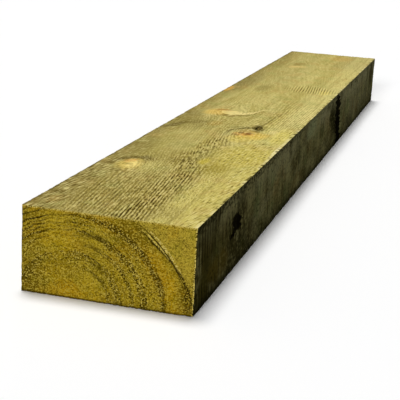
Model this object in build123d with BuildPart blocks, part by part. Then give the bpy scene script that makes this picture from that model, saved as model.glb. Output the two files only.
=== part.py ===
from build123d import *
import os

# Garden railway sleeper: one length of green treated softwood, rough sawn on four sides
# and crosscut at both ends. X runs across it, Y along it and Z up from the face it lies on.

# Driving dimensions, in millimetres
LENGTH = 1500.0
WIDTH = 200.0
HEIGHT = 100.0
ARRIS_RADIUS = 1.5
END_EASE = 0.8

# Ring shake: the crack along one annual ring that is open at the near end.
# Its three points are shares of the width from the middle and of the height from the base.
SHAKE_GAP = 1.6
SHAKE_DEPTH = 45.0
SHAKE_TOP_SHARES = (0.173, 0.958)
SHAKE_MIDDLE_SHARES = (0.333, 0.667)
SHAKE_FOOT_SHARES = (0.452, 0.290)
# How much of the opening is left at the blind end of the crack
SHAKE_BLIND_SHARE = 0.4

# Bark pocket beside a knot on the top face.
# Its place is a share of the width from the middle and of the length from mid-length.
POCKET_LENGTH = 36.0
POCKET_WIDTH = 11.0
POCKET_DEPTH = 7.0
POCKET_PLACE_SHARES = (0.20, -0.1353)
POCKET_FLOOR_SHARE = 0.35

# Dead knot in the right side, shrunk a little below the sawn face.
# Its place is a share of the length from mid-length and of the height from the base.
KNOT_LENGTH = 60.0
KNOT_HEIGHT = 25.0
KNOT_DEPTH = 2.5
KNOT_PLACE_SHARES = (-0.379, 0.58)
KNOT_FLOOR_SHARE = 0.75


def section_point(shares):
    """A place on the sleeper's section, from its shares of the width and the height."""
    return (shares[0] * WIDTH, shares[1] * HEIGHT)


# The annual ring that has parted, drawn on the section, and the way its crack opens
with BuildLine() as ring:
    ThreePointArc(
        section_point(SHAKE_TOP_SHARES),
        section_point(SHAKE_MIDDLE_SHARES),
        section_point(SHAKE_FOOT_SHARES),
    )
ring_chord_middle = (ring.line @ 0 + ring.line @ 1) / 2
shake_opens = (ring.line @ 0.5 - ring_chord_middle).normalized() * SHAKE_GAP

near_end = Plane.XZ.offset(LENGTH / 2)
far_end = Plane.XZ.offset(-LENGTH / 2)
top_face = Plane.XY.offset(HEIGHT)
right_side = Plane.YZ.offset(WIDTH / 2)

pocket_place = (POCKET_PLACE_SHARES[0] * WIDTH, POCKET_PLACE_SHARES[1] * LENGTH)
knot_place = (KNOT_PLACE_SHARES[0] * LENGTH, KNOT_PLACE_SHARES[1] * HEIGHT)

with BuildPart() as sleeper:
    # The sawn section, its long edges rubbed round by handling
    with BuildSketch(far_end) as section:
        Rectangle(WIDTH, HEIGHT, align=(Align.CENTER, Align.MIN))
        fillet(section.vertices(), ARRIS_RADIUS)
    extrude(amount=LENGTH)
    chamfer(sleeper.faces().filter_by(Axis.Y).edges(), END_EASE)

    # The crack runs in from the near end and closes towards its blind end
    for depth, kept_share in ((0, 1), (SHAKE_DEPTH, SHAKE_BLIND_SHARE)):
        tip_share = (1 - kept_share) / 2
        top, middle, foot = ring.line @ tip_share, ring.line @ 0.5, ring.line @ (1 - tip_share)
        with BuildSketch(near_end.offset(-depth)):
            with BuildLine():
                ThreePointArc(top, middle, foot)
                ThreePointArc(foot, middle + shake_opens * kept_share, top)
            make_face()
    loft(mode=Mode.SUBTRACT)

    # The bark pocket narrows to a slot at its floor
    for depth, kept_share in ((0, 1), (POCKET_DEPTH, POCKET_FLOOR_SHARE)):
        with BuildSketch(top_face.offset(-depth)):
            with Locations(pocket_place):
                Ellipse(POCKET_WIDTH / 2 * kept_share, POCKET_LENGTH / 2 * kept_share)
    loft(mode=Mode.SUBTRACT)

    # The shrunk knot leaves a shallow dish
    for depth, kept_share in ((0, 1), (KNOT_DEPTH, KNOT_FLOOR_SHARE)):
        with BuildSketch(right_side.offset(-depth)):
            with Locations(knot_place):
                Ellipse(KNOT_LENGTH / 2 * kept_share, KNOT_HEIGHT / 2 * kept_share)
    loft(mode=Mode.SUBTRACT)

sleeper.part.label = "sleeper"

os.makedirs("parts", exist_ok=True)
export_step(sleeper.part, "parts/sleeper.step")
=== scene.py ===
"""Looks of a green treated garden sleeper: one rough-sawn length of softwood lying on a pale floor.

Sizes and places on the wood are in millimetres: x across the sleeper, y along it, z up.
The near end, with the open ring shake, is the one at the lowest y.
"""
import math

import bmesh
import bpy
from mathutils import Matrix, Vector, noise


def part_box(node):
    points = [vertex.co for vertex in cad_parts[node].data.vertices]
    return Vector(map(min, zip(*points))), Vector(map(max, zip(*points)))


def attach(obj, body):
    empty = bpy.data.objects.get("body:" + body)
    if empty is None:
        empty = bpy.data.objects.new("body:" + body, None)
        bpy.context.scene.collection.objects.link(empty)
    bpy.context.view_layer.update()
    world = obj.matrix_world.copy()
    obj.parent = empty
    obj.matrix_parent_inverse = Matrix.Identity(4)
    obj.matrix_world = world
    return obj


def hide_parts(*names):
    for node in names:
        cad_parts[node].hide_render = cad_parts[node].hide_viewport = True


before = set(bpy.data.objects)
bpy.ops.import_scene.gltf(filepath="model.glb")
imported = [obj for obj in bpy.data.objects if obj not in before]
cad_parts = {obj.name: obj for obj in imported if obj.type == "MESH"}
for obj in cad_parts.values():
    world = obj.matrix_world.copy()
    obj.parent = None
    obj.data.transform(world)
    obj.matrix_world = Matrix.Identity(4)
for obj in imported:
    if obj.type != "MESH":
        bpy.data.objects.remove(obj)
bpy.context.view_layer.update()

MM = 0.001

low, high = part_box("sleeper")
HALF_WIDTH = (high.x - low.x) / 2 / MM
HALF_LENGTH = (high.y - low.y) / 2 / MM
HEIGHT = (high.z - low.z) / MM

# Camera: its place, where it looks, its roll, its lens and its sensor, in millimetres and degrees
CAMERA_PLACE = (377.9, -1768.1, 423.1)
CAMERA_AZIMUTH = -15.24
CAMERA_ELEVATION = 15.48
CAMERA_ROLL = 3.22
CAMERA_LENS = 95.27
CAMERA_SENSOR = 36.0
# How far the camera sees, and half the floor's size, in metres
CAMERA_SIGHT = 100.0
FLOOR_REACH = 30.0

# Lamps: the way to each, its strength and its spread in degrees
LAMPS = {
    "overhead": ((-0.11, 0.14, 0.98), 2.25, 20),
    "front_fill": ((-0.02, -0.95, 0.30), 1.75, 10),
    "back_fill": ((-0.35, 0.93, 0.02), 1.2, 10),
}
# Strength of the sky's light, and how much of the lamps' light the floor throws back at the wood
SKY_STRENGTH = 0.12
FLOOR_BOUNCE = 0.36
WHITE = (1.0, 1.0, 1.0, 1.0)
# How strongly the fine relief of the finishes shows
FINE_RELIEF = 0.7

# Cells of the sawn surface across, along and up
CELLS = (200, 200, 56)
# Length of the cells at the near end, as a share of the mean: they grow towards the far end
NEAR_CELL_SHARE = 0.45
# Rounds of thinning of the underside's cells: two of them keep one cell in four
UNDERSIDE_THINNING = 4
# The block's sides and the way that each one faces
OUTWARD = {
    "top": Vector((0, 0, 1)),
    "bottom": Vector((0, 0, -1)),
    "left": Vector((-1, 0, 0)),
    "right": Vector((1, 0, 0)),
    "near": Vector((0, -1, 0)),
    "far": Vector((0, 1, 0)),
}
SIDES = tuple(OUTWARD)

# Depths of the saw's marks: lines of its teeth, chatter, strokes up the sides and torn end grain
TOOTH_DEPTH = 0.6
CHATTER_DEPTH = 0.6
STROKE_DEPTH = 0.35
END_TEAR_DEPTH = 0.8
# How splintered the arrises are on the left, on the right and up the right of the near end
SPLINTERS_LEFT = 0.3
SPLINTERS_RIGHT = 0.7
SPLINTERS_CORNER = 1.4

# Annual rings: the pith and how flat the rings are
PITH_X = -42.0
PITH_Z = 0.0
RING_FLATNESS = 1.12
# Rings whose late wood shows: radius, half width, and how strongly on the pith's left and right
RINGS = (
    (45.8, 3.5, 0.0, 0.7),
    (56.5, 6.5, 0.4, 0.55),
    (60.5, 1.5, 0.8, 0.4),
    (73.5, 3.5, 0.0, 0.7),
    (82.0, 1.3, 0.6, 0.0),
    (86.5, 5.5, 0.0, 0.85),
    (88.7, 1.7, 1.0, 0.0),
    (92.8, 1.2, 0.7, 0.0),
    (97.5, 1.7, 0.9, 0.2),
    (101.8, 1.2, 0.6, 0.0),
    (106.5, 1.8, 1.0, 0.0),
    (108.0, 5.5, 0.0, 0.9),
    (114.5, 1.5, 0.8, 0.0),
    (121.0, 1.7, 0.8, 0.0),
)
# How far right of the pith the strengths on the right hold
RING_TURN = 40.0
# Upright stripe where the rings fade: its middle, its half width and how much is lost
FADED_STRIPE = (-58, 22)
FADED_SHARE = 0.6
# Parts of the near end that the crosscut left roughest: across, up, and their half sizes
ROUGH_PARTS = (
    (26, 54, 38, 44),
    (30, 14, 56, 34),
    (-92, 38, 18, 46),
    (-76, 26, 26, 24),
    (-12, 88, 44, 14),
    (-48, 46, 44, 18),
    (92, 18, 9, 26),
)
FAR_END_ROUGHNESS = 0.6

# Ring shake on the near end: centre and radius of its arc, and where it starts and stops
SHAKE_CENTRE = (-62.7, -41.9)
SHAKE_RADIUS = 169.0
SHAKE_ANGLES = (25.0, 54.8)
SHAKE_GAP = 1.1
SHAKE_DEPTH = 40.0
# Shares of the gap that are left at the ends of the arc and at the blind end
SHAKE_TIP_SHARE = 0.15
SHAKE_BLIND_SHARE = 0.3
# How far the crack strays from its arc, how far its cutter starts outside, and the cutter's facets
SHAKE_STRAY = 0.55
SHAKE_LEAD = 2.0
SHAKE_FACETS = 60

# Pitch and slant of the lines that the saw's teeth drew along the top face
LINE_PITCH = 4.0
LINE_SLANT = 0.105
# How far the lines on the right spread behind the third knot, and over what length
LINE_SPREAD = 42.0
SPREAD_START = -215.0
SPREAD_LENGTH = 300.0
# Heavy band of those lines: its middle at the near end, its spread, and its bends with their start and stop
BAND_START = 22.0
BAND_SPREAD = 17.0
BAND_BENDS = ((-26, -550, -430), (8, -410, -320))
# Short slanting marks where the saw shook: their middle and half sizes
CHATTER_PLACE = (50, 205)
CHATTER_REACH = (58, 62)
# Pitch of the saw's strokes up the right side
STROKE_PITCH = 13.0

# Knots on the top face: across, along, and how wide and how long the grain bends round each
TOP_KNOTS = (
    (-62, -513, 17, 42),
    (-34, -100, 26, 40),
    (36, -240, 22, 70),
    (-97, 142, 14, 40),
    (-44, 505, 14, 50),
)
# How high the first two knots stand proud of the top face, and their half sizes
KNOT_SWELLS = ((0.35, (14, 20)), (0.3, (20, 24)))
# Bark pocket beside the third knot: its place, its half sizes, and how ragged and how bent it is
POCKET_PLACE = (40, -203)
POCKET_REACH = (5.5, 14, 6)
POCKET_RAGGEDNESS = 0.3
POCKET_BEND = 0.012

# Dead knot in the right side: along, up, its half sizes, how fast it rises along the side and its depth
SIDE_KNOT = (-568, 58)
SIDE_KNOT_REACH = (31, 13)
SIDE_KNOT_SLANT = -0.2
SIDE_KNOT_DEPTH = 2.2
# Dark tail of that knot, in the same way
KNOT_TAIL = (-584, 48)
KNOT_TAIL_REACH = (22, 6)
KNOT_TAIL_SLANT = 0.2

# Black seam across the right side: where it starts at the base, its lean, its half width and its depth
SEAM_FOOT = 240.0
SEAM_LEAN = -0.46
SEAM_REACH = 33.0
SEAM_DEPTH = 1.2
# Dark stain on the near side of the seam: how far off it starts at the base, and its half width
SEAM_STAIN_OFFSET = 52.0
SEAM_STAIN_REACH = 48.0


def swept(x, y):
    """Where the grain at this place of the top face would run if it bent round no knots."""
    straight = x
    for knot_x, knot_y, spread, run in TOP_KNOTS:
        away = ((x - knot_x) / spread) ** 2 + ((y - knot_y) / run) ** 2
        straight = straight - (x - knot_x) / (away + 1)
    return straight


def grain_row(x, y):
    """How far across the grain a place of the top face lies, with the bends and the slant taken out."""
    spread = limit((y - SPREAD_START) / SPREAD_LENGTH) * ease(x, -50, 60)
    return swept(x, y) + LINE_SLANT * y - LINE_SPREAD * spread


def ring_radius(x, z):
    """Distance from the pith, in the flattened measure that the rings keep to."""
    return ((x - PITH_X) ** 2 + ((z - PITH_Z) * RING_FLATNESS) ** 2) ** 0.5


def past_shake(x, z):
    """How far outside the ring shake's arc a place on an end lies."""
    return ((x - SHAKE_CENTRE[0]) ** 2 + (z - SHAKE_CENTRE[1]) ** 2) ** 0.5 - SHAKE_RADIUS


def sine(angle):
    """Sine of a plain number, or of a value that changes over a surface."""
    return angle.sine() if isinstance(angle, Value) else math.sin(angle)


def tooth_row(x, y):
    """Which of the saw teeth's lines this place of the top face lies on, counted across it."""
    drift = 0.25 * sine(y / 90 + x / 30) + 0.1 * sine(y / 31 - x / 13)
    return grain_row(x, y) / LINE_PITCH + drift


def stroke_row(y, z):
    """Which of the saw's strokes this place of the right side lies on, counted along it."""
    return (y + 0.1 * z) / STROKE_PITCH + 0.35 * sine(y / 37 + z / 90) + 0.3 * sine(y / 16)


def along_row(row, sharp):
    """1 along the middle of a line, falling to 0 halfway to the next."""
    off = (row % 1 - 0.5) * 2
    return (1 - off * off) ** sharp


def chatter(x, y):
    """Ridges of the short slanting marks where the saw shook, from -1 to 1."""
    return sine(x * 1.25 + y * 0.12 + 1.1 * sine(x / 9 + y / 31))


def limit(value):
    """The value, held between 0 and 1."""
    return value.finish.hold(value) if isinstance(value, Value) else max(0.0, min(1.0, value))


def ease(value, start, stop):
    """A smooth step from 0 at start to 1 at stop."""
    if isinstance(value, Value):
        return value.finish.ease(value, start, stop)
    share = limit((value - start) / (stop - start))
    return share * share * (3 - 2 * share)


def oval(a, b, place, reach, slant=0):
    """1 in the middle of an oval, 0 from its edge on. A slant is how fast it rises along a."""
    if slant:
        b = b - slant * (a - place[0])
    away = ((a - place[0]) / reach[0]) ** 2 + ((b - place[1]) / reach[1]) ** 2
    return ease(away, 1, 0)


def stripe(value, middle, reach):
    """1 along the middle of a stripe, 0 from its edges on."""
    return ease(((value - middle) / reach) ** 2, 1, 0)


def late_wood(x, z):
    """How strongly the hard late wood of a ring shows here on an end, from 0 to 1."""
    radius = ring_radius(x, z)
    right = ease(x, PITH_X, PITH_X + RING_TURN)
    faded = 1 - FADED_SHARE * stripe(x, *FADED_STRIPE)
    return faded * limit(sum(
        stripe(radius, middle, reach) * (left_show + (right_show - left_show) * right)
        for middle, reach, left_show, right_show in RINGS
    ))


def rough_part(x, z):
    """How rough the crosscut left the near end here, from 0 to 1."""
    return limit(sum(oval(x, z, part[:2], part[2:]) for part in ROUGH_PARTS))


def side_knot(y, z):
    """1 in the middle of the dead knot in the right side, 0 from its edge on."""
    return oval(y, z, SIDE_KNOT, SIDE_KNOT_REACH, SIDE_KNOT_SLANT)


def seam(y, z):
    """1 along the black seam across the right side, 0 from its edges on."""
    return stripe(y, SEAM_FOOT + SEAM_LEAN * z, SEAM_REACH)


def wave(a, b, sizes, layer):
    """Smooth noise from about -1 to 1, with lumps of the two sizes. Each layer is another pattern."""
    return noise.noise(Vector((a / sizes[0], b / sizes[1], layer)))


def torn_top(x, y):
    """How strongly the saw's teeth marked the top face here, from 0 to 1."""
    bend = sum(shift * ease(y, start, stop) for shift, start, stop in BAND_BENDS)
    middle = BAND_START + bend + 4 * wave(0, y, (1, 60), layer=3.3)
    band = math.exp(-((x - middle) / BAND_SPREAD) ** 2) * (1 - ease(y, -330, -240))
    left = (1 - ease(x, 24, 50)) * (1 - ease(y, -640, -440)) * ease(x, -86, -54)
    patch = limit(0.75 + 0.8 * wave(x, y, (14, 60), layer=5.1))
    return limit(0.12 + patch * (0.45 * left + 0.8 * band))


def torn_end(x, z, near):
    """How deeply the crosscut tore the end grain here, from 0 to 1."""
    grit = wave(x, z, (1.6, 1.6), layer=9.4) + 0.5 * wave(x, z, (1.1, 1.3), layer=3.1)
    dots = limit((grit + 0.1) * 1.6)
    stray_x = x + 3 * wave(x, z, (22, 22), layer=2.2)
    stray_z = z + 3 * wave(x, z, (22, 22), layer=6.8)
    late = late_wood(stray_x, stray_z)
    rough = rough_part(x, z) if near else FAR_END_ROUGHNESS
    return dots * limit(0.15 + 0.9 * late * rough)


def torn_side(y, z, layer):
    """How deeply the saw's strokes marked a narrow side here, from 0 to 1."""
    stroke = along_row(stroke_row(y, z), 2) * limit(0.5 + 1.4 * wave(y, z, (40, 18), layer=layer))
    strands = limit(wave(z, y, (2.2, 40), layer=layer + 8) - 0.35)
    return limit(0.7 * stroke + 0.8 * strands)


def top_depth(x, y):
    """How far below the sawn plane a place on the top face lies, and how torn it is."""
    torn = torn_top(x, y)
    row = tooth_row(x, y)
    cut = limit(0.5 + 1.6 * wave(math.floor(row) * 3.7, y, (1, 10), layer=5.1))
    shaken = oval(x, y, CHATTER_PLACE, CHATTER_REACH) * limit(chatter(x, y))
    dip = 0.25 + 0.25 * wave(x, y, (50, 160), layer=0.4) + 0.15 * wave(x, y, (2.5, 14), layer=2.9)
    dip += TOOTH_DEPTH * torn * cut * along_row(row, 3) + CHATTER_DEPTH * shaken
    swell = sum(
        height * oval(x, y, knot[:2], reach) for knot, (height, reach) in zip(TOP_KNOTS, KNOT_SWELLS)
    )
    return dip - swell, torn


def underside_depth(x, y):
    """How far above the sawn plane a place on the underside lies, and how torn it is."""
    torn = 0.6 * torn_side(y, x, layer=11.5)
    return 0.2 + 0.3 * torn, torn


def side_depth(y, z, layer):
    """How far inside the sawn plane a place on a narrow side lies, and how torn it is."""
    torn = torn_side(y, z, layer)
    dip = 0.3 + 0.25 * wave(y, z, (160, 50), layer=14.4) + 0.1 * wave(y, z, (9, 3), layer=15.5)
    return dip + STROKE_DEPTH * torn, torn


def right_hollows(y, z):
    """How deep the dead knot and the black seam lie in the right side."""
    stray = y + 10 * wave(y, z, (14, 12), layer=2.6)
    ragged = limit(0.7 + wave(y, z, (12, 16), layer=8.8))
    return SIDE_KNOT_DEPTH * side_knot(y, z) + SEAM_DEPTH * seam(stray, z) * ragged


def end_depth(x, z, near):
    """How far inside the crosscut plane a place on an end lies, and how torn it is."""
    torn = torn_end(x, z, near)
    dip = 0.3 + 0.3 * wave(x, z, (45, 45), layer=6.6) + 0.12 * wave(x, z, (2.2, 2.2), layer=3.7)
    return dip + END_TEAR_DEPTH * torn, torn


def sawn_depth(side, x, y, z):
    """How far inside the plane of its side a place lies, and how torn it is."""
    if side == "top":
        return top_depth(x, y)
    if side == "bottom":
        return underside_depth(x, y)
    if side == "left":
        return side_depth(y, z, layer=21.5)
    if side == "right":
        depth, torn = side_depth(y, z, layer=31.5)
        return depth + right_hollows(y, z), torn
    return end_depth(x, z, near=side == "near")


def arris_loss(x, y, z):
    """How much a long or an end arris is rubbed and splintered away here."""
    along = x + y + z
    splinters = SPLINTERS_RIGHT if x > 0 else SPLINTERS_LEFT
    if x > HALF_WIDTH - 1 and y < 1 - HALF_LENGTH:
        splinters = SPLINTERS_CORNER
    fine = wave(along, x - y, (2.6, 40), layer=17.3) + 0.6 * wave(along, x - y, (9, 40), layer=13.3)
    chips = limit(wave(along, z - x, (26, 60), layer=19.9) - 0.35)
    return max(0.0, 0.12 + splinters * fine) + 1.5 * chips


def cut_up_box():
    """A box of the sleeper's size, cut into cells that grow towards the far end."""
    block = bmesh.new()
    bmesh.ops.create_cube(block, size=1)
    bmesh.ops.translate(block, vec=(0, 0, 0.5), verts=block.verts)
    bmesh.ops.scale(block, vec=(2 * HALF_WIDTH, 2 * HALF_LENGTH, HEIGHT), verts=block.verts)
    for axis, cells in enumerate(CELLS):
        along = [edge for edge in block.edges if abs((edge.verts[0].co - edge.verts[1].co)[axis]) > 1e-3]
        bmesh.ops.subdivide_edges(block, edges=along, cuts=cells - 1)
    for vert in block.verts:
        share = vert.co.y / (2 * HALF_LENGTH) + 0.5
        vert.co.y = 2 * HALF_LENGTH * (share * (NEAR_CELL_SHARE + (1 - NEAR_CELL_SHARE) * share) - 0.5)
    block.normal_update()
    for face in block.faces:
        side = max(SIDES, key=lambda name: face.normal.dot(OUTWARD[name]))
        face.material_index = SIDES.index(side)
        face.smooth = True
    return block


def sides_at(part):
    """The block's sides that meet at a vertex or an edge, in the order of their names above."""
    return [SIDES[index] for index in sorted({face.material_index for face in part.link_faces})]


def sink_marks(block):
    """Sinks the block's surface by what the saw took, and keeps on each vertex how torn it is."""
    torn_layer = block.verts.layers.float.new("torn")
    for vert in block.verts:
        sides = sides_at(vert)
        x, y, z = vert.co
        shift, torn = Vector(), 0.0
        for side in sides:
            depth, tear = sawn_depth(side, x, y, z)
            if len(sides) > 1:
                depth = arris_loss(x, y, z)
            shift -= OUTWARD[side] * max(depth, 0.0)
            torn = max(torn, tear)
        vert[torn_layer] = torn if len(sides) == 1 else 0.3 * torn
        vert.co += shift


def sawn_block():
    """The sleeper as a sawn block: a cut-up box whose faces, arrises and end grain are torn by the saw."""
    block = cut_up_box()
    sink_marks(block)
    beneath = [vert for vert in block.verts if sides_at(vert) == ["bottom"]]
    bmesh.ops.unsubdivide(block, verts=beneath, iterations=UNDERSIDE_THINNING)
    for edge in block.edges:
        if len(sides_at(edge)) > 1:
            edge.smooth = False
    # The far end has the near end's finish
    for face in block.faces:
        if SIDES[face.material_index] == "far":
            face.material_index = SIDES.index("near")
    return block


def shake_blade():
    """The thin curved wedge of air that the ring shake leaves in the near end."""
    blade = bmesh.new()
    start, stop = (math.radians(a) for a in SHAKE_ANGLES)
    front, back = -HALF_LENGTH - SHAKE_LEAD, -HALF_LENGTH + SHAKE_DEPTH
    centre = Vector((SHAKE_CENTRE[0], 0, SHAKE_CENTRE[1]))
    first = centre + SHAKE_RADIUS * Vector((math.cos(start), 0, math.sin(start)))
    ends = [blade.verts.new((first.x, y, first.z)) for y in (front, back)]
    edge = blade.edges.new(ends)
    bmesh.ops.spin(
        blade,
        geom=[edge],
        cent=centre,
        axis=(0, -1, 0),
        angle=stop - start,
        steps=SHAKE_FACETS,
        use_duplicate=False,
    )
    sheet = list(blade.faces)
    bmesh.ops.recalc_face_normals(blade, faces=sheet)
    grown = bmesh.ops.extrude_face_region(blade, geom=sheet)["geom"]
    outer = {part for part in grown if isinstance(part, bmesh.types.BMVert)}
    for vert in blade.verts:
        arm = Vector((vert.co.x - centre.x, 0, vert.co.z - centre.z))
        share = (math.atan2(arm.z, arm.x) - start) / (stop - start)
        bulge = math.sin(math.pi * max(0.02, min(0.98, share))) ** 0.7
        gap = SHAKE_GAP * (SHAKE_TIP_SHARE + (1 - SHAKE_TIP_SHARE) * bulge)
        if vert.co.y > -HALF_LENGTH:
            gap *= SHAKE_BLIND_SHARE
        stray = SHAKE_STRAY * wave(share * 100, vert.co.y, (6, 200), layer=12.1)
        vert.co += arm.normalized() * (stray + (gap / 2 if vert in outer else -gap / 2))
    bmesh.ops.recalc_face_normals(blade, faces=blade.faces)
    return blade


def pocket_plug():
    """The ragged oval of bark that has dropped out of the top face."""
    plug = bmesh.new()
    bmesh.ops.create_icosphere(plug, subdivisions=4, radius=1)
    for vert in plug.verts:
        ragged = 1 + POCKET_RAGGEDNESS * wave(vert.co.x * 10, vert.co.y * 10, (6, 6), layer=vert.co.z * 2)
        vert.co = Vector(vert.co[i] * POCKET_REACH[i] * ragged for i in range(3))
        vert.co.x -= POCKET_BEND * vert.co.y ** 2
    bmesh.ops.translate(plug, vec=(*POCKET_PLACE, HEIGHT), verts=plug.verts)
    return plug


def set_down(shape, name, materials):
    """A finished shape as an object at the origin, in metres."""
    bmesh.ops.scale(shape, vec=(MM, MM, MM), verts=shape.verts)
    mesh = bpy.data.meshes.new(name)
    shape.to_mesh(mesh)
    shape.free()
    piece = bpy.data.objects.new(name, mesh)
    bpy.context.scene.collection.objects.link(piece)
    for material in materials:
        mesh.materials.append(material)
    return piece


def cut_away(piece, cutter):
    """Takes the cutter's shape out of the piece for good."""
    cut = piece.modifiers.new("cut", "BOOLEAN")
    cut.operation = "DIFFERENCE"
    cut.solver = "EXACT"
    cut.material_mode = "TRANSFER"
    cut.object = cutter
    seen = piece.evaluated_get(bpy.context.evaluated_depsgraph_get())
    mesh = bpy.data.meshes.new_from_object(seen)
    shape = bmesh.new()
    shape.from_mesh(mesh)
    # The cut leaves vertices in the middle of straight edges
    needless = [vert for vert in shape.verts if len(vert.link_edges) == 2]
    bmesh.ops.dissolve_verts(shape, verts=needless)
    shape.to_mesh(mesh)
    shape.free()
    piece.modifiers.clear()
    piece.data = mesh
    bpy.data.objects.remove(cutter)


def paint(red, green, blue):
    """A colour as a screen shows it, 0 to 255, as the light that it stands for."""
    def light(level):
        share = level / 255
        return share / 12.92 if share <= 0.04045 else ((share + 0.055) / 1.055) ** 2.4
    return (light(red), light(green), light(blue), 1.0)


class Value:
    """A number that changes over a surface. Arithmetic on it adds Math nodes to its finish."""

    def __init__(self, finish, socket):
        self.finish = finish
        self.socket = socket

    def __add__(self, other):
        return self.finish.work_out("ADD", self, other)

    def __radd__(self, other):
        return self.finish.work_out("ADD", other, self)

    def __sub__(self, other):
        return self.finish.work_out("SUBTRACT", self, other)

    def __rsub__(self, other):
        return self.finish.work_out("SUBTRACT", other, self)

    def __mul__(self, other):
        return self.finish.work_out("MULTIPLY", self, other)

    def __rmul__(self, other):
        return self.finish.work_out("MULTIPLY", other, self)

    def __truediv__(self, other):
        return self.finish.work_out("DIVIDE", self, other)

    def __rtruediv__(self, other):
        return self.finish.work_out("DIVIDE", other, self)

    def __pow__(self, other):
        return self.finish.work_out("POWER", self, other)

    def __mod__(self, other):
        return self.finish.work_out("FLOORED_MODULO", self, other)

    def sine(self):
        """Sine of the value."""
        return self.finish.node("ShaderNodeMath", {"operation": "SINE"}, {0: self})


class Finish:
    """The nodes of one finish: a material's, or the sky's."""

    def __init__(self, owner):
        owner.use_nodes = True
        self.owner = owner
        self.tree = owner.node_tree
        self.tree.nodes.clear()
        where = self.node("ShaderNodeTexCoord", output="Object")
        spots = self.node("ShaderNodeVectorMath", {"operation": "SCALE"}, {0: where, "Scale": 1 / MM})
        self.x, self.y, self.z = (
            self.node("ShaderNodeSeparateXYZ", {}, {0: spots}, axis) for axis in "XYZ"
        )

    def node(self, kind, settings=None, sockets=None, output=0):
        """Adds a node: its settings first, then the values or links of its sockets."""
        made = self.tree.nodes.new(kind)
        for name, setting in (settings or {}).items():
            setattr(made, name, setting)
        for name, value in (sockets or {}).items():
            if isinstance(value, Value):
                self.tree.links.new(value.socket, made.inputs[name])
            else:
                made.inputs[name].default_value = value
        return Value(self, made.outputs[output]) if made.outputs else None

    def work_out(self, operation, first, second):
        """One step of arithmetic on two values."""
        return self.node("ShaderNodeMath", {"operation": operation}, {0: first, 1: second})

    def hold(self, value):
        """The value, held between 0 and 1."""
        return self.node("ShaderNodeMath", {"operation": "ADD", "use_clamp": True}, {0: value, 1: 0.0})

    def ease(self, value, start, stop):
        """A smooth step from 0 at start to 1 at stop."""
        return self.node(
            "ShaderNodeMapRange",
            {"interpolation_type": "SMOOTHSTEP"},
            {"Value": value, "From Min": start, "From Max": stop},
        )

    def wave(self, a, b, sizes, layer, detail=2.0, rough=0.55):
        """Noise from 0 to 1, with lumps of the two sizes. Each layer is another pattern."""
        spot = self.node("ShaderNodeCombineXYZ", {}, {"X": a / sizes[0], "Y": b / sizes[1], "Z": layer})
        return self.node(
            "ShaderNodeTexNoise", {}, {"Vector": spot, "Scale": 1.0, "Detail": detail, "Roughness": rough}
        )

    def torn(self):
        """How deeply the saw tore the wood here, kept on the piece's own vertices."""
        return self.node("ShaderNodeAttribute", {"attribute_name": "torn"}, output="Fac")

    def blend(self, share, under, over):
        """The second colour over the first: sockets 6, 7 and 2 of a Mix node are those for colours."""
        return self.node(
            "ShaderNodeMix",
            {"data_type": "RGBA", "blend_type": "MIX", "clamp_factor": True},
            {0: share, 6: under, 7: over},
            output=2,
        )

    def layers(self, colour, *stains):
        """A colour with stains over it: pairs of how strong each is and its colour."""
        for share, stain in stains:
            colour = self.blend(share, colour, stain)
        return colour

    def done(self, colour, roughness, height, depth):
        """Joins the colour, the roughness and the fine relief to the surface."""
        bump = self.node(
            "ShaderNodeBump",
            {},
            {"Strength": FINE_RELIEF, "Distance": depth * MM, "Height": height},
            output="Normal",
        )
        surface = self.node(
            "ShaderNodeBsdfPrincipled",
            {},
            {"Base Color": colour, "Roughness": roughness, "Specular IOR Level": 0.0, "Normal": bump},
        )
        self.node("ShaderNodeOutputMaterial", {}, {"Surface": surface})
        return self.owner


def top_finish():
    """Sawn top face: yellow-green treated wood, dark tooth lines, and knots where they grew."""
    s = Finish(bpy.data.materials.new("sawn_top"))
    x = s.x + 7 * (s.wave(s.x, s.y, (14, 40), layer=2.5) - 0.5)
    y = s.y + 24 * (s.wave(s.x, s.y, (12, 34), layer=7.5) - 0.5)
    strand = s.wave(grain_row(s.x, s.y), s.y, (3.0, 46), layer=4.2, detail=3, rough=0.65)
    stipple, stipple_marks = top_stipple(s)
    colour = s.layers(
        paint(190, 176, 99),
        *top_tones(s, x, y, strand),
        *near_stains(x, y),
        *first_knot(x, y),
        *second_knot(x, y),
        *third_knot(x, y),
        *far_stains(x, y),
        *stipple_marks,
        *tooth_marks(s),
        *chatter_marks(s, x, y, strand),
        *arris_marks(s, y),
    )
    return s.done(colour, roughness=0.9, height=stipple + 0.6 * strand, depth=1.0)


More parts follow.
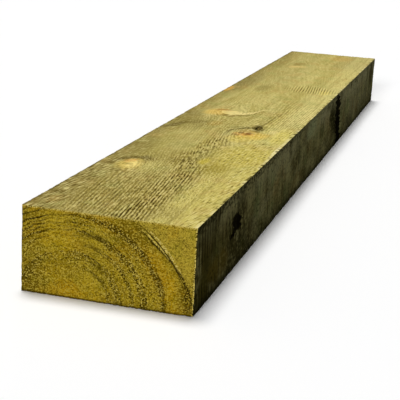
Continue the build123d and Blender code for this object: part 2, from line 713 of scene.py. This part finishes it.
def top_tones(s, x, y, strand):
    """Broad tones of the top face, along grain that bends round the knots."""
    grain = swept(s.x, s.y)
    broad = s.wave(grain, s.y, (26, 240), layer=1.1, detail=3)
    ring_line = s.wave(grain + 4 * broad, s.y, (6.5, 420), layer=12.4, detail=1)
    tint = s.wave(s.x, s.y, (30, 44), layer=15.2, detail=3, rough=0.6)
    torn = s.torn()
    near_left = (1 - ease(s.x + 20 * broad, 30, 62)) * (1 - ease(s.y, -640, -440))
    pale_right = ease(s.x + 14 * broad, 36, 64) * (1 - ease(s.y, -120, 60))
    far_mid = oval(s.x, s.y, (-6, 330), (90, 330))
    left_rim = 1 - ease(s.x + 16 * broad, -96, -40)
    far_left = (1 - ease(s.x + 30 * broad, -10, 40)) * ease(s.y, 100, 300)
    far_right = ease(s.x + 14 * broad, 48, 82) * ease(s.y, -420, -240)
    return (
        (ease(broad, 0.42, 0.68), paint(206, 192, 118)),
        (0.5 * ease(broad, 0.5, 0.34), paint(170, 154, 82)),
        (0.75 * pale_right, paint(210, 195, 104)),
        (0.7 * far_right, paint(216, 203, 128)),
        (0.75 * near_left, paint(150, 133, 68)),
        (0.35 * ease(ring_line, 0.54, 0.66), paint(150, 134, 66)),
        (0.4 * far_mid, paint(202, 188, 114)),
        # Painted shade where the saw tore deepest
        (0.55 * ease(torn, 0.15, 0.7), paint(168, 148, 66)),
        (0.35 * far_left, paint(164, 150, 92)),
        (0.85 * left_rim, paint(142, 125, 68)),
        (0.4 * ease(strand, 0.5, 0.7), paint(146, 130, 66)),
        (0.3 * ease(strand, 0.5, 0.3), paint(222, 209, 136)),
        (0.55 * oval(x, y, (82, -70), (30, 130)), paint(234, 219, 142)),
        (0.45 * oval(x, y, (-84, -170), (26, 80)), paint(120, 106, 56)),
        (0.35 * oval(x, y, (-82, 225), (26, 150)), paint(118, 105, 62)),
        (0.3 * oval(x, y, (-22, 50), (50, 70)), paint(216, 203, 130)),
        (0.3 * ease(s.x, 0, 50) * ease(s.y, 440, 580), paint(160, 146, 98)),
        (0.35 * ease(tint, 0.53, 0.66), paint(164, 164, 92)),
        (0.35 * ease(tint, 0.47, 0.34), paint(188, 158, 90)),
    )


def left_edge(x):
    """1 along the left edge of the top face, 0 further in."""
    return ease(x, -52, -78)


def right_edge(x):
    """1 along the right edge of the top face, 0 further in."""
    return ease(x, 58, 82)


def smooth_patch(x, y):
    """1 in the middle of the patch of the top face that the saw cut smoothly, 0 from its edge on."""
    return oval(x, y, (-38, -345), (50, 130))


def top_crispness(x, y):
    """How crisply the fine marks of the top face show: less far off, and less on the smooth patch."""
    return (1 - 0.7 * ease(y, -300, 200)) * (1 - 0.35 * smooth_patch(x, y))


def top_stipple(s):
    """Fine stipple of the top face, which turns at the long edges and on the smooth patch."""
    right_part = limit(right_edge(s.x) + oval(s.x, s.y, (52, -385), (44, 140)))
    straight = s.wave(grain_row(s.x, s.y), s.y, (1.4, 6), layer=9.3, detail=1, rough=0.5)
    turned = s.wave(s.x - 0.18 * s.y, s.y, (1.7, 16), layer=3.9, detail=1, rough=0.5)
    turning = limit(left_edge(s.x) + right_part + smooth_patch(s.x, s.y))
    stipple = straight + turning * (turned - straight)
    near_left_edge = left_edge(s.x) * ease(s.y, -440, -560)
    shown = top_crispness(s.x, s.y) * (1 + 0.6 * near_left_edge + 0.5 * right_part)
    return stipple, (
        (0.6 * shown * ease(stipple, 0.53, 0.72), paint(112, 96, 38)),
        (0.5 * shown * ease(stipple, 0.47, 0.28), paint(238, 224, 150)),
        (0.8 * near_left_edge * ease(turned, 0.5, 0.64), paint(92, 77, 30)),
    )


def tooth_marks(s):
    """Lines that the saw's teeth drew along the top face, and ribs behind the third knot, as painted shade
    in their grooves and painted light on the ridges between.
    """
    torn = s.torn()
    row = tooth_row(s.x, s.y)
    broken = oval(s.x, s.y, (10, -420), (56, 120))
    line = (0.24 - 0.12 * broken) * (along_row(row, 2) - 0.5)
    uneven = s.wave(row, s.y, (0.55, 12), layer=5.5, detail=2, rough=0.6) - 0.5
    tooth = 0.5 + line + (0.85 + 0.45 * broken) * uneven
    toothed = top_crispness(s.x, s.y) * (1 - 0.75 * limit(left_edge(s.x) + right_edge(s.x)))
    ribbed = ease(s.x, 18, 46) * ease(s.y, -235, -165) * (1 - ease(s.y, -60, 110))
    return (
        # Painted light on the ridges and painted shade in the grooves, strongest where the saw tore
        (toothed * (0.15 + 0.6 * torn) * ease(tooth, 0.47, 0.30), paint(226, 210, 138)),
        (toothed * (0.12 + torn) * ease(tooth, 0.46, 0.68), paint(76, 61, 20)),
        # The same painted shade and painted light on the ribs behind the third knot
        (0.4 * ribbed * ease(tooth, 0.46, 0.64), paint(120, 106, 50)),
        (0.25 * ribbed * ease(tooth, 0.44, 0.3), paint(232, 218, 146)),
    )


def chatter_marks(s, x, y, strand):
    """Where the saw shook: painted shade in the hollows of its marks and painted light on the ridges
    between.
    """
    ridge = chatter(s.x, s.y)
    shaken = oval(x, y, (48, 205), (62, 56)) * (0.5 + 0.5 * ease(strand, 0.36, 0.56))
    return (
        # Painted shade in the chatter's hollows, then painted light on its ridges
        (0.9 * shaken * ease(ridge, 0.25, 0.85), paint(104, 90, 40)),
        (0.6 * shaken * ease(ridge, -0.4, -0.9), paint(230, 212, 130)),
    )


def arris_marks(s, y):
    """Dashes and notches along the long arrises of the top face: dark dashes on the left, and on the right
    painted highlights where the arris catches the light and painted shade in its notches.
    """
    dash = s.wave(s.y, s.x, (34, 30), layer=13.6, detail=4, rough=0.7)
    notch = s.wave(s.y, s.x, (8, 30), layer=6.4, detail=2, rough=0.6)
    return (
        (0.6 * ease(s.x, 4 - HALF_WIDTH, 1 - HALF_WIDTH) * ease(dash, 0.4, 0.55), paint(88, 76, 34)),
        # Painted highlights along the right arris: pale dashes and a pale spot
        (0.65 * ease(s.x, HALF_WIDTH - 6, HALF_WIDTH - 2) * ease(dash, 0.5, 0.62), paint(238, 225, 160)),
        (0.7 * oval(s.x, y, (HALF_WIDTH - 3, -348), (4, 46)), paint(242, 230, 168)),
        # Painted shade in the dashes and notches along the right arris
        (0.75 * ease(s.x, HALF_WIDTH - 4, HALF_WIDTH - 1) * ease(dash, 0.47, 0.36), paint(74, 66, 28)),
        (0.8 * ease(s.x, HALF_WIDTH - 5, HALF_WIDTH - 2) * ease(notch, 0.47, 0.38), paint(78, 68, 28)),
    )


def near_stains(x, y):
    """Broad stains on the near half of the top face."""
    return (
        (0.55 * oval(x, y, (-52, -385), (48, 130)), paint(166, 154, 82)),
        (0.6 * oval(x, y, (-24, -455), (60, 60)), paint(154, 138, 66)),
        (0.45 * oval(x, y, (-84, -420), (30, 100)), paint(130, 116, 60)),
        (0.7 * oval(x, y, (46, -486), (26, 56)), paint(158, 140, 48)),
        (0.5 * oval(x, y, (20, -402), (22, 44)), paint(144, 130, 60)),
        (0.4 * oval(x, y, (54, -710), (26, 40)), paint(148, 130, 68)),
        (0.65 * oval(x, y, (-70, -215), (56, 80)), paint(142, 128, 64)),
        (0.6 * oval(x, y, (60, -400), (52, 90)), paint(200, 182, 78)),
        (0.7 * oval(x, y, (22, -455), (9, 26)), paint(204, 184, 62)),
        (0.6 * oval(x, y, (-32, -515), (16, 44)), paint(200, 188, 106)),
    )


def first_knot(x, y):
    """The knot nearest to the near end, with the dark bark that curls behind it."""
    off = x - TOP_KNOTS[0][0]
    bark = oval(x, y - 0.45 * off + 0.016 * off ** 2, (-62, -481), (30, 17))
    return (
        (0.85 * bark, paint(98, 83, 34)),
        (0.6 * oval(x, y, (-52, -470), (9, 16)), paint(104, 92, 42)),
        (0.6 * oval(x, y, (-82, -502), (10, 20), slant=3), paint(92, 78, 34)),
        (0.45 * oval(x, y, (-83, -508), (8, 28)), paint(122, 106, 50)),
        (0.9 * oval(x, y, (-60, -516), (22, 36)), paint(222, 196, 102)),
        (0.7 * oval(x, y, (-64, -500), (11, 14)), paint(222, 172, 92)),
        (0.95 * oval(x, y, (-55, -518), (11, 20)), paint(244, 220, 130)),
    )


def second_knot(x, y):
    """The pale knot with a long tail that bends along the grain, and the bark before it."""
    bent = y - 54 * limit((x + 30) / 41) ** 4
    rim = oval(x, bent, (-26, -124), (44, 14))
    tail = oval(x, bent, (-8, -104), (33, 15))
    return (
        (0.7 * oval(x, y, (-86, -244.4), (15, 26), slant=2.2), paint(92, 74, 34)),
        (0.5 * oval(x, y, (-62, -206.4), (26, 22), slant=0.6), paint(116, 102, 48)),
        (0.6 * oval(x, y, (-30, -200), (14, 30)), paint(178, 148, 70)),
        (0.75 * rim, paint(136, 116, 54)),
        (0.9 * oval(x, y, (-53, -104.75), (28, 36), slant=0.25), paint(226, 190, 98)),
        (0.8 * oval(x, y, (-46, -84), (20, 10), slant=0.2), paint(170, 124, 60)),
        (0.9 * tail, paint(240, 220, 144)),
        (0.85 * oval(x, y, (-30, -98), (22, 26)), paint(240, 220, 142)),
    )


def third_knot(x, y):
    """The dark knot before the bark pocket, with bark along its edge and a dark line behind it."""
    edge = oval(x - 32 * ease(y, -245, -192), y, (2, -230), (5, 54))
    line = oval(x - 0.09 * (y + 110), y, (46, -110), (2.4, 100))
    return (
        (0.6 * oval(x, y, (30, -292), (24, 34)), paint(224, 200, 96)),
        (0.85 * oval(x, y, (42, -262), (34, 36)), paint(226, 192, 86)),
        (0.85 * oval(x, y, (28, -256), (22, 16)), paint(214, 160, 80)),
        (0.6 * oval(x, y, (30, -236), (24, 22)), paint(178, 142, 74)),
        (0.7 * oval(x, y, (18, -268), (10, 10)), paint(136, 92, 40)),
        (0.85 * oval(x, y, (34, -252), (6, 12)), paint(112, 60, 20)),
        (0.8 * oval(x, y, (22, -248), (6, 9)), paint(104, 72, 30)),
        (0.75 * edge, paint(92, 80, 32)),
        (0.4 * oval(x, y, (12, -214.6), (24, 14), slant=0.3), paint(104, 94, 42)),
        (0.7 * oval(x, y, (34, -209), (24, 13)), paint(88, 78, 32)),
        (0.8 * oval(x, y, (38, -205), (14, 34), slant=-1.2), paint(72, 64, 24)),
        (0.45 * line, paint(90, 80, 36)),
        (0.6 * oval(x, y, (68, -224), (12, 12)), paint(232, 214, 136)),
        (0.5 * oval(x, y, (84, -250), (18, 76)), paint(226, 208, 94)),
    )


def far_stains(x, y):
    """Small knots and stains on the far half of the top face, and a burn at its near left corner."""
    return (
        (0.8 * oval(x, y, (-97, 130), (10, 40)), paint(214, 164, 76)),
        (0.6 * oval(x, y, (-40, 176), (18, 54)), paint(138, 122, 60)),
        (0.5 * oval(x, y, (76, 186), (16, 30)), paint(226, 206, 106)),
        (0.6 * oval(x, y, (-36, 495.2), (24, 26), slant=0.4), paint(224, 196, 118)),
        (0.6 * oval(x, y, (-42, 540), (16, 36)), paint(146, 126, 62)),
        (0.5 * oval(x, y, (28, 685), (34, 60)), paint(198, 162, 88)),
        (0.5 * oval(x, y, (-78, -715), (12, 26)), paint(176, 142, 72)),
    )


def end_finish():
    """Crosscut end grain: golden rings, dark pitted late wood and amber patches."""
    s = Finish(bpy.data.materials.new("end_grain"))
    near = 1 - ease(s.y, -1, 1)
    beyond = near * ease(past_shake(s.x, s.z), -1, 1)
    x = s.x + 7 * (s.wave(s.x, s.z, (10, 10), layer=3.5, detail=3) - 0.5)
    z = s.z + 7 * (s.wave(s.x, s.z, (10, 10), layer=8.5, detail=3) - 0.5)
    patchy = s.wave(s.x, s.z, (7, 6), layer=4.9, detail=2)
    clump = s.wave(s.x, s.z, (4.2, 3.4), layer=5.3, detail=2, rough=0.6)
    grit = s.wave(s.x, s.z, (1.7, 1.5), layer=2.2, detail=1, rough=0.6)
    speck = s.wave(s.x, s.z, (1.7, 1.5), layer=7.7, detail=1, rough=0.5)
    colour = s.layers(
        paint(160, 134, 24),
        *end_tones(s, x, z, near, beyond),
        *end_pits(s, x, z, near, beyond, patchy, clump, grit, speck),
        *shake_marks(s, near, patchy, clump, grit, speck),
        *end_rims(s, near, grit),
    )
    return s.done(colour, roughness=0.95, height=speck - grit, depth=1.4)


def end_tones(s, x, z, near, beyond):
    """Broad tones of an end, with a paler part beyond the ring shake."""
    cloud = s.wave(s.x, s.z, (30, 24), layer=6.1, detail=3)
    tint = s.wave(s.x, s.z, (24, 20), layer=11.3, detail=3, rough=0.6)
    return (
        (ease(cloud, 0.5, 0.68), paint(138, 115, 18)),
        (ease(cloud, 0.48, 0.32), paint(178, 150, 28)),
        (0.6 * near * stripe(past_shake(s.x, s.z), -19, 14), paint(186, 142, 12)),
        (0.5 * oval(x, z, (-26, 34), (40, 26)), paint(150, 130, 26)),
        (0.65 * oval(x, z, (-34, 8), (44, 18)), paint(196, 150, 14)),
        (0.6 * oval(x, z, (74, 24), (12, 28)), paint(192, 154, 14)),
        (0.6 * oval(x, z, (-56, 66), (26, 28)), paint(194, 162, 26)),
        (0.5 * oval(x, z, (26, 40), (9, 26)), paint(182, 152, 26)),
        (0.78 * oval(x, z, (31, 87), (40, 28)), paint(106, 88, 6)),
        (0.7 * oval(x, z, (-90, 10), (26, 24)), paint(86, 70, 6)),
        (0.6 * oval(x, z, (90, 18), (16, 28)), paint(104, 84, 10)),
        (0.5 * oval(x, z, (-62, 90), (18, 13)), paint(196, 168, 40)),
        (0.55 * oval(x, z, (-15, 50), (24, 52)), paint(178, 152, 32)),
        (0.7 * oval(x, z, (38, 26), (18, 28)), paint(186, 158, 30)),
        (0.6 * oval(x, z, (-92, 34), (20, 50)), paint(108, 88, 8)),
        (0.45 * oval(x, z, (-14, 76), (18, 16)), paint(192, 166, 40)),
        (0.4 * oval(x, z, (-12, 16), (24, 22)), paint(198, 170, 34)),
        (0.35 * oval(x, z, (-60, 28), (20, 16)), paint(194, 160, 22)),
        (0.75 * beyond, paint(180, 157, 52)),
        (0.45 * ease(tint, 0.53, 0.66), paint(136, 126, 26)),
        (0.35 * ease(tint, 0.47, 0.34), paint(184, 142, 22)),
    )


def end_pits(s, x, z, near, beyond, patchy, clump, grit, speck):
    """Pits and specks of an end's torn grain, thickest in the late wood of the rings: the dark grit and
    pits are painted shade in the hollows and the pale specks painted highlights on raised fibres.
    """
    torn = s.torn()
    late = late_wood(x, z)
    rough = 1 - near * (1 - rough_part(x, z))
    streak = s.wave(ring_radius(x, z), s.x, (1.6, 11), layer=9.6, detail=1, rough=0.5)
    dots = limit(late * (0.35 + 0.65 * rough) + 0.45 * rough * ease(patchy, 0.35, 0.6))
    ringed = late * (1 - 0.5 * rough) * ease(streak + 0.5 * patchy + 0.5 * grit, 0.72, 0.98)
    pitted_corner = near * oval(x, z, (93, 18), (7, 26)) * ease(grit, 0.36, 0.55)
    split_corner = near * oval(x, z, (88, 82), (12, 5), slant=-0.9) * ease(grit, 0.4, 0.55)
    return (
        (0.2 * dots, paint(112, 93, 10)),
        (0.4 * ease(streak, 0.5, 0.66) * (1 - beyond), paint(104, 84, 6)),
        (0.4 * ease(clump, 0.53, 0.66), paint(106, 86, 8)),
        (0.4 * ease(clump, 0.47, 0.34), paint(208, 180, 58)),
        # Painted shade in the grit's hollows and painted highlights on raised specks
        (0.65 * ease(grit, 0.5, 0.64), paint(84, 66, 4)),
        (0.55 * ease(speck, 0.5, 0.64), paint(218, 192, 72)),
        (ringed, paint(52, 38, 0)),
        # Painted shade in the pits and the deepest tears, and painted highlights on the specks between
        (0.9 * dots * ease(grit, 0.48, 0.60), paint(42, 30, 0)),
        (0.45 * ease(torn, 0.2, 0.8), paint(54, 40, 0)),
        (0.7 * dots * ease(speck, 0.54, 0.65), paint(230, 206, 96)),
        # Painted shade in the pits of the lower right corner and in the split at the top right
        (0.8 * pitted_corner, paint(54, 39, 4)),
        (0.5 * split_corner, paint(78, 62, 8)),
    )


def shake_marks(s, near, patchy, clump, grit, speck):
    """Torn wood on both sides of the ring shake: dark crack lines of painted shade along it and beside it,
    and painted highlights on its lip and on the sliver between the lines.
    """
    crack = past_shake(s.x, s.z)
    apart = 4.2 - 4 * ease(s.x, 48, 76) + 3.5 * ease(s.x, 80, 90)
    inner_crack = near * oval(crack + apart + 2.5 * (patchy - 0.5), s.x, (0, 62), (2.1, 34))
    outer_crack = near * oval(crack + 2 * (patchy - 0.5), s.x, (0, 64), (1.1, 34))
    low_crack = near * oval(crack - 1.6 + 2.5 * (patchy - 0.5), s.z, (0, 34), (1.9, 28))
    sliver = near * oval(crack + 0.5 * apart + 2 * (patchy - 0.5), s.x, (0, 56), (1.5, 24))
    lip = near * oval(crack - 2.6, s.x, (0, 66), (2.0, 26))
    return (
        # Painted highlights on the lip and the sliver, painted shade in the crack lines
        (0.75 * lip * ease(speck, 0.46, 0.58), paint(238, 218, 128)),
        (0.95 * inner_crack * ease(grit, 0.32, 0.46), paint(42, 30, 0)),
        (0.8 * outer_crack * ease(clump, 0.4, 0.55), paint(44, 32, 2)),
        (0.85 * sliver * ease(speck, 0.38, 0.52), paint(228, 205, 98)),
        (0.95 * low_crack * ease(grit, 0.34, 0.48), paint(44, 31, 1)),
    )


def end_rims(s, near, grit):
    """Painted shadow along the foot of an end, pale fuzz along the top and the right brightened by a
    painted highlight, and a dark line along the right.
    """
    # Painted shadow along the foot, where the end stands on the floor
    foot = ease(s.z, 3.2, 0.8)
    # Pale fuzz along the top and right arrises, brightened as a painted highlight
    fuzz_and_highlight = limit(ease(s.z, HEIGHT - 2.4, HEIGHT - 1) + ease(s.x, HALF_WIDTH - 2.2, HALF_WIDTH - 1))
    right_rim = near * ease(s.x, HALF_WIDTH - 3, HALF_WIDTH - 1.5) * ease(grit, 0.52, 0.6)
    return (
        (0.8 * foot, paint(46, 35, 4)),
        (0.85 * fuzz_and_highlight * ease(grit, 0.58, 0.42), paint(232, 210, 112)),
        (0.7 * right_rim, paint(44, 33, 4)),
    )


def side_strokes(s, along, up):
    """The saw's strokes across a side, and the fine fibre along it."""
    stroke = s.wave(along + 0.12 * up, up, (5.0, 36), layer=2.6, detail=3, rough=0.65)
    fibre = s.wave(along, up, (22, 1.3), layer=5.9, detail=2, rough=0.65)
    broad = s.wave(along, up, (190, 40), layer=8.1, detail=3)
    return stroke, fibre, broad


def right_finish():
    """The shaded right side: olive brown, painted darker and greyer than the left side as partly painted
    shade, with the saw's strokes, a dead knot and a black seam.
    """
    s = Finish(bpy.data.materials.new("sawn_right_side"))
    y = s.y + 36 * (s.wave(s.y, s.z, (18, 14), layer=2.5) - 0.5)
    z = s.z + 18 * (s.wave(s.y, s.z, (18, 14), layer=6.5) - 0.5)
    near = 1 - ease(s.y, -720, -560)
    stroke, fibre, broad = side_strokes(s, s.y, s.z)
    fleck = s.wave(s.y, s.z, (6, 4), layer=9.1, detail=1, rough=0.5)
    stained, black = seam_marks(s, y, z, fibre)
    line = along_row(stroke_row(s.y, s.z), 3)
    colour = s.layers(
        # Darker and greyer than the left side: the wood's own tone with painted shade over it
        paint(132, 127, 77),
        *right_tones(s, y, z, broad),
        *stroke_marks(s, y, z, near, stroke, fibre, fleck),
        *stained,
        (0.45 * ease(fleck, 0.54, 0.7), paint(46, 42, 16)),
        (0.3 * (1 - near) * ease(fleck, 0.46, 0.3), paint(172, 164, 104)),
        *dead_knot(s, y, z, stroke, fleck),
        *black,
        (0.75 * oval(y, z, (690, 74), (40, 44)), paint(54, 48, 20)),
        # Painted shade in the strokes' grooves, deepest where the saw tore
        ((0.25 + 0.45 * near) * line * ease(s.torn(), 0.05, 0.5), paint(34, 29, 8)),
        (0.3 * ease(fibre, 0.55, 0.72), paint(46, 42, 16)),
    )
    return s.done(colour, roughness=0.9, height=fibre + 0.8 * stroke, depth=0.8)


def right_tones(s, y, z, broad):
    """Broad tones of the right side: dark at the near end, darker at the foot as painted shade, and paler
    far off and on top, the paleness on top being painted light.
    """
    tint = s.wave(s.y, s.z, (50, 44), layer=1.7, detail=3, rough=0.6)
    mottle = s.wave(s.y, s.z, (44, 36), layer=3.8, detail=4, rough=0.62)
    return (
        (ease(broad, 0.45, 0.65), paint(142, 138, 94)),
        (0.6 * ease(broad, 0.48, 0.32), paint(116, 107, 53)),
        (0.6 * ease(s.y, 80, 500), paint(142, 140, 101)),
        (0.65 * ease(tint, 0.52, 0.66), paint(104, 120, 68)),
        (0.55 * ease(tint, 0.48, 0.34), paint(136, 112, 62)),
        # Painted shade towards the foot and painted light towards the top
        (0.6 * ease(s.z, 50, 4), paint(84, 82, 46)),
        (0.7 * ease(s.z, 50, 90), paint(166, 162, 116)),
        (0.3 * ease(s.y, -60, 60) * ease(s.z, 60, 92), paint(184, 180, 138)),
        (0.92 * (1 - ease(s.y + 1.6 * s.z, -700, -330)), paint(68, 61, 16)),
        (0.6 * oval(y, z, (-545, 20), (100, 42)), paint(48, 46, 18)),
        (0.6 * oval(y, z, (-520, 70), (70, 50)), paint(70, 65, 28)),
        (0.7 * oval(y, z, (-150, 72), (64, 50)), paint(90, 87, 50)),
        (0.5 * oval(y, z, (278, 50), (56, 32)), paint(94, 92, 54)),
        (0.4 * oval(y, z, (540, 46), (150, 24)), paint(98, 96, 62)),
        (0.45 * oval(y, z, (690, 44), (60, 60)), paint(82, 80, 50)),
        (0.4 * oval(s.y, s.z, (80, 20), (160, 50)), paint(104, 100, 60)),
        (0.55 * oval(y, z, (-574, 48), (58, 46)), paint(46, 41, 13)),
        (0.7 * ease(mottle, 0.51, 0.66), paint(72, 67, 29)),
        (0.55 * ease(mottle, 0.49, 0.36), paint(166, 160, 104)),
    )


def stroke_marks(s, y, z, near, stroke, fibre, fleck):
    """The saw's strokes up the right side, painted shade along its foot and the hatching under its top
    arris.
    """
    crisp = 1 - 0.35 * ease(s.y, -350, 150)
    under_arris = ease(s.z + 10 * (fibre - 0.5), 85, 95)
    hatched = under_arris * ease(fleck, 0.38, 0.54) * (1 - 0.6 * ease(s.y, -400, 0))
    return (
        (0.5 * crisp * ease(stroke, 0.5, 0.66), paint(56, 51, 20)),
        (crisp * (0.35 - 0.2 * near) * ease(stroke, 0.47, 0.32), paint(168, 160, 102)),
        (0.35 * oval(y, z, (-650, 28), (60, 22)), paint(116, 96, 28)),
        # Painted shade along the foot, where the side meets the floor
        (0.75 * ease(s.z, 14, 0), paint(36, 35, 20)),
        (0.75 * hatched, paint(40, 36, 12)),
        (0.45 * oval(y, z, (-70, 84), (60, 24)), paint(156, 168, 120)),
    )


def seam_marks(s, y, z, fibre):
    """The stains round the black seam, and the seam itself."""
    stray = s.y + 80 * (s.wave(s.y, s.z, (60, 7), layer=5.2, detail=2) - 0.5)
    clumps = s.wave(s.y, s.z, (40, 9), layer=4.7, detail=2)
    narrowed = 1 - 0.5 * ease(s.z, 66, 95)
    black = ease(seam(stray, s.z) * narrowed + 1.1 * (clumps - 0.5), 0.2, 0.5)
    stain = stripe(stray, SEAM_FOOT - SEAM_STAIN_OFFSET + SEAM_LEAN * z, SEAM_STAIN_REACH)
    beside = stain * ease(s.z, 10, 44) * (1 - 0.6 * ease(s.z, 70, 92))
    stains = (
        (0.85 * beside, paint(38, 37, 16)),
        (0.7 * oval(y, z, (136, 65), (34, 17)), paint(46, 45, 18)),
        (0.9 * oval(y, z, (204, 42), (50, 24)), paint(22, 20, 8)),
        (0.35 * oval(y, z, (370, 16), (70, 22)), paint(58, 56, 34)),
        (0.6 * oval(y, z, (215, 8), (50, 22)), paint(40, 42, 20)),
    )
    return stains, (
        (0.97 * black, paint(11, 9, 5)),
        (0.4 * black * ease(fibre, 0.52, 0.68), paint(42, 35, 17)),
    )


def dead_knot(s, y, z, stroke, fleck):
    """The dead knot in the right side, with its tail and the dark wood round it."""
    ragged_y = s.y + 34 * (s.wave(s.y, s.z, (9, 5), layer=7.1, detail=1) - 0.5)
    ragged_z = s.z + 12 * (s.wave(s.y, s.z, (9, 5), layer=3.3, detail=1) - 0.5)
    knot = side_knot(ragged_y, ragged_z)
    tail = oval(ragged_y, ragged_z, KNOT_TAIL, KNOT_TAIL_REACH, KNOT_TAIL_SLANT)
    dead = ease(limit(knot + 0.7 * tail) + (fleck - 0.5), 0.04, 0.6)
    return (
        (0.7 * oval(y, z, (-572, 56), (60, 34)) * ease(stroke, 0.42, 0.6), paint(30, 26, 9)),
        (0.95 * dead, paint(16, 12, 5)),
    )


def plain_finish(name, across):
    """A sawn face with no marks of its own, for the left side and the underside."""
    s = Finish(bpy.data.materials.new(name))
    up = {"x": s.x, "z": s.z}[across]
    stroke, fibre, broad = side_strokes(s, s.y, up)
    torn = s.torn()
    colour = s.layers(
        paint(164, 150, 82),
        (ease(broad, 0.45, 0.65), paint(182, 168, 98)),
        (0.7 * ease(broad, 0.48, 0.32), paint(146, 130, 66)),
        (0.5 * ease(stroke, 0.5, 0.7), paint(128, 114, 58)),
        (0.35 * ease(stroke, 0.45, 0.3), paint(196, 184, 114)),
        # Painted shade where the saw tore deepest
        (0.6 * ease(torn, 0.1, 0.8), paint(96, 82, 38)),
        (0.35 * ease(fibre, 0.55, 0.75), paint(118, 104, 54)),
    )
    return s.done(colour, roughness=0.88, height=fibre + 0.8 * stroke, depth=0.8)


def hollow_finish():
    """The dark wood inside the ring shake and the bark pocket."""
    s = Finish(bpy.data.materials.new("hollow_wood"))
    grit = s.wave(s.x, s.z, (2.0, 2.0), layer=4.4, detail=2)
    colour = s.layers(paint(118, 103, 50), (ease(grit, 0.45, 0.65), paint(84, 72, 32)))
    return s.done(colour, roughness=0.95, height=grit, depth=0.6)


def sleeper():
    """The whole sleeper, standing for its plain solid."""
    materials = [
        top_finish(),
        plain_finish("sawn_underside", "x"),
        plain_finish("sawn_left_side", "z"),
        right_finish(),
        end_finish(),
    ]
    piece = set_down(sawn_block(), "sawn_sleeper", materials)
    hollow = hollow_finish()
    cut_away(piece, set_down(shake_blade(), "shake_cutter", [hollow]))
    cut_away(piece, set_down(pocket_plug(), "pocket_cutter", [hollow]))
    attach(piece, "root")
    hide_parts("sleeper")


def seen_plain(s):
    """1 for what the camera sees straight, in a gloss or through glass, and 0 for other light."""
    rays = ("Is Camera Ray", "Is Glossy Ray", "Is Transmission Ray")
    return limit(sum(s.node("ShaderNodeLightPath", output=ray) for ray in rays))


def floor():
    """A plain pale floor that is seen as white and keeps the sleeper's shadow."""
    ground = bmesh.new()
    bmesh.ops.create_grid(ground, x_segments=1, y_segments=1, size=FLOOR_REACH / MM)
    s = Finish(bpy.data.materials.new("pale_floor"))
    dim = s.node("ShaderNodeBsdfDiffuse", {}, {"Color": (FLOOR_BOUNCE, FLOOR_BOUNCE, FLOOR_BOUNCE, 1)})
    white = s.node("ShaderNodeBsdfDiffuse", {}, {"Color": WHITE})
    both = s.node("ShaderNodeMixShader", {}, {0: seen_plain(s), 1: dim, 2: white})
    s.node("ShaderNodeOutputMaterial", {}, {"Surface": both})
    set_down(ground, "floor", [s.owner])


def sky():
    """Soft light from all round, seen as white."""
    world = bpy.data.worlds.new("studio_sky")
    bpy.context.scene.world = world
    s = Finish(world)
    soft = s.node("ShaderNodeBackground", {}, {"Color": WHITE, "Strength": SKY_STRENGTH})
    white = s.node("ShaderNodeBackground", {}, {"Color": WHITE, "Strength": 1})
    both = s.node("ShaderNodeMixShader", {}, {0: seen_plain(s), 1: soft, 2: white})
    s.node("ShaderNodeOutputWorld", {}, {"Surface": both})


def lamps():
    """A broad light from overhead and weaker fills from the front and the back, all soft."""
    for name, (way, strength, spread) in LAMPS.items():
        lamp = bpy.data.lights.new(name, "SUN")
        lamp.energy = strength
        lamp.angle = math.radians(spread)
        holder = bpy.data.objects.new(name, lamp)
        holder.rotation_euler = Vector(way).to_track_quat("Z", "Y").to_euler()
        bpy.context.scene.collection.objects.link(holder)


def camera():
    """The camera at the photograph's viewing angle."""
    eye = bpy.data.cameras.new("camera")
    eye.lens = CAMERA_LENS
    eye.sensor_width = CAMERA_SENSOR
    eye.clip_end = CAMERA_SIGHT
    holder = bpy.data.objects.new("camera", eye)
    turn = (
        Matrix.Rotation(math.radians(-CAMERA_AZIMUTH), 4, "Z")
        @ Matrix.Rotation(math.radians(90 - CAMERA_ELEVATION), 4, "X")
        @ Matrix.Rotation(math.radians(CAMERA_ROLL), 4, "Z")
    )
    holder.matrix_world = Matrix.Translation(Vector(CAMERA_PLACE) * MM) @ turn
    bpy.context.scene.collection.objects.link(holder)
    bpy.context.scene.camera = holder


sleeper()
floor()
sky()
lamps()
camera()
bpy.context.scene.view_settings.view_transform = "Standard"
